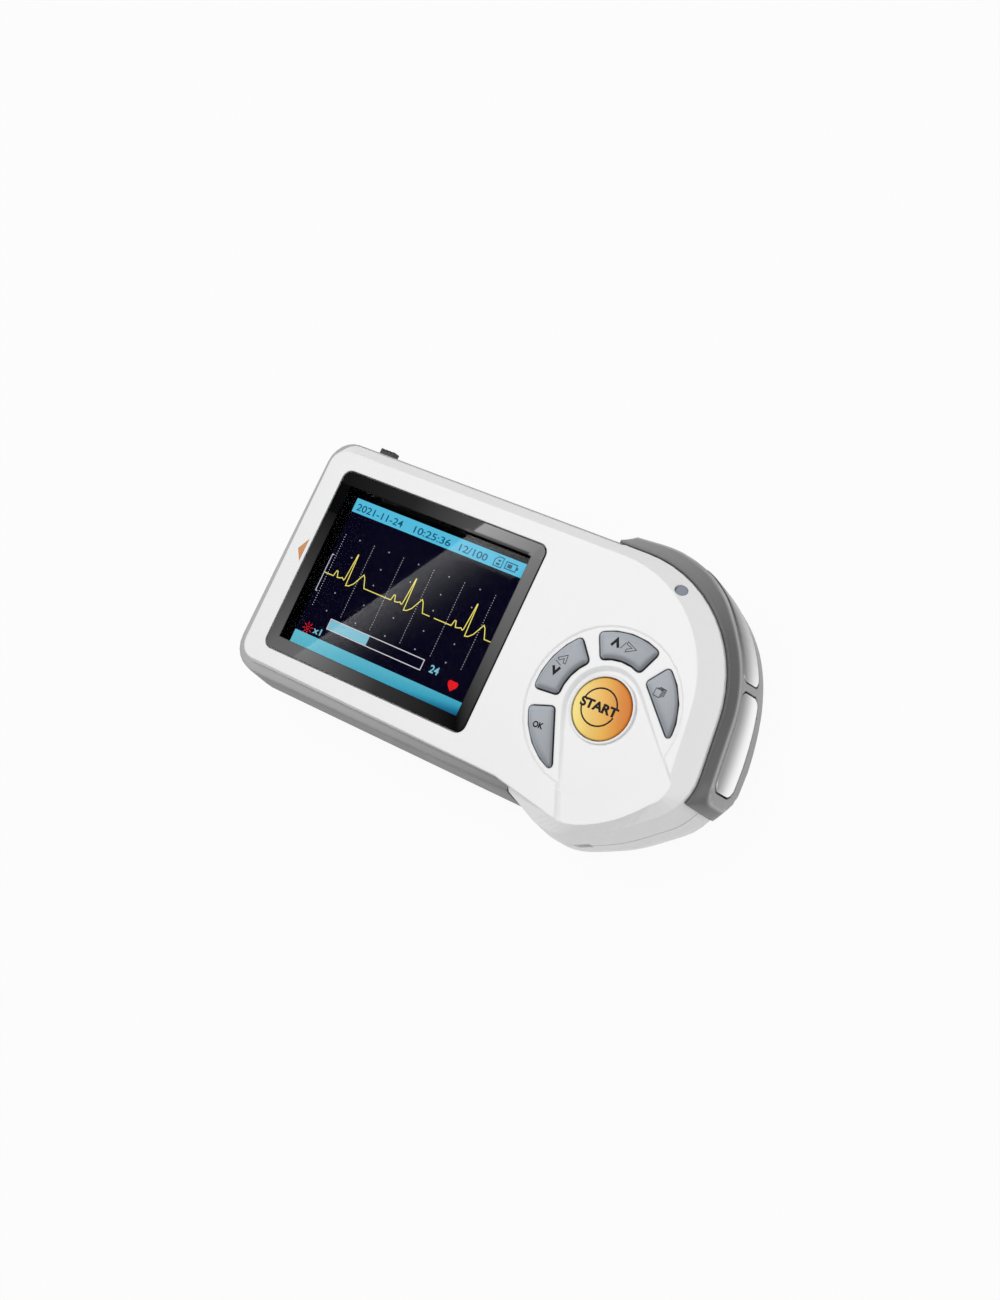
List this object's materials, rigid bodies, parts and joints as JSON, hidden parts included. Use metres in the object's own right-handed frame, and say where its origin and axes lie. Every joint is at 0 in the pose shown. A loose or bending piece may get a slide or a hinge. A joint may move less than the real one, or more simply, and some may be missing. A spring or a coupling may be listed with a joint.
{
  "type": "portable ecg machine",
  "caption": "Handheld ECG recorder: flat paddle-shaped case with a colour display, a ring of keys round a start button, and a finger grip with metal electrodes.",
  "frame": {"origin": "middle of the footprint, at the flat of the back, which the device lies on", "axes": "+X along the device towards the finger grip, +Y across it towards the side with the power slide, +Z out of the display"},
  "size_m": [0.1256, 0.0676, 0.0243],
  "materials": {
    "white_plastic": "satin gloss, moulded",
    "grey_plastic": "fine matt",
    "clear_acrylic": "polished, clear",
    "black_print": "black print behind the lens",
    "display_glass": "dark display glass",
    "frame_metal": "plain pressed sheet",
    "electrode_steel": "polished",
    "key_grey": "bluish grey, satin",
    "start_orange": "orange, satin gloss",
    "silicone": "matt",
    "board_green": "green solder mask",
    "chip_black": "matt black moulding",
    "light_pipe": "smoky light pipe",
    "battery_wrap": "plain printed film",
    "spring_steel": "nickel plated",
    "switch_black": "matt black"
  },
  "bodies": {
    "case": {"front_cover": "white_plastic", "rear_cover": "white_plastic", "lower_shell": "grey_plastic", "grip": "grey_plastic", "upper_finger_electrode": "electrode_steel", "lower_finger_electrode": "electrode_steel", "end_electrode": "electrode_steel", "display_lens": "clear_acrylic", "lens_mask": "black_print", "lcd_panel": "display_glass", "lcd_frame": "frame_metal", "display_flex": "switch_black", "main_board": "board_green", "processor_chip": "chip_black", "shield_can": "frame_metal", "buzzer": "chip_black", "keypad_mat": "silicone", "status_light_lens": "light_pipe", "led_chip": "silicone", "power_switch": "frame_metal", "lead_socket": "frame_metal", "battery_1": "battery_wrap", "battery_2": "battery_wrap", "battery_spring_1": "spring_steel", "battery_spring_2": "spring_steel", "left_contact_strip": "spring_steel", "right_contact_strip": "spring_steel", "upper_contact_spring": "spring_steel", "lower_contact_spring": "spring_steel", "case_screw_1": "spring_steel", "case_screw_2": "spring_steel", "case_screw_3": "spring_steel", "case_screw_4": "spring_steel", "end_contact_spring": "spring_steel"},
    "ok_key": {"ok_key": "key_grey"},
    "down_key": {"down_key": "key_grey"},
    "up_key": {"up_key": "key_grey"},
    "page_key": {"page_key": "key_grey"},
    "start_button": {"start_button": "start_orange"},
    "power_slide": {"power_slide": "switch_black"},
    "battery_door": {"battery_door": "grey_plastic"}
  },
  "joints": [
    {"name": "ok_key_press", "type": "slide", "parent": "case", "child": "ok_key", "axis": [0, 0, -1], "range_m": [0, 0.0005], "stiffness_N_per_m": 2400, "springref_m": -0.0002},
    {"name": "down_key_press", "type": "slide", "parent": "case", "child": "down_key", "axis": [0, 0, -1], "range_m": [0, 0.0005], "stiffness_N_per_m": 2400, "springref_m": -0.0002},
    {"name": "up_key_press", "type": "slide", "parent": "case", "child": "up_key", "axis": [0, 0, -1], "range_m": [0, 0.0005], "stiffness_N_per_m": 2400, "springref_m": -0.0002},
    {"name": "page_key_press", "type": "slide", "parent": "case", "child": "page_key", "axis": [0, 0, -1], "range_m": [0, 0.0005], "stiffness_N_per_m": 2400, "springref_m": -0.0002},
    {"name": "start_button_press", "type": "slide", "parent": "case", "child": "start_button", "axis": [0, 0, -1], "range_m": [0, 0.0005], "stiffness_N_per_m": 3000, "springref_m": -0.0002},
    {"name": "power_slide_move", "type": "slide", "parent": "case", "child": "power_slide", "axis": [1, 0, 0], "range_m": [0, 0.0022]},
    {"name": "battery_door_slide", "type": "slide", "parent": "case", "child": "battery_door", "axis": [-1, 0, 0], "range_m": [0, 0.056]}
  ]
}
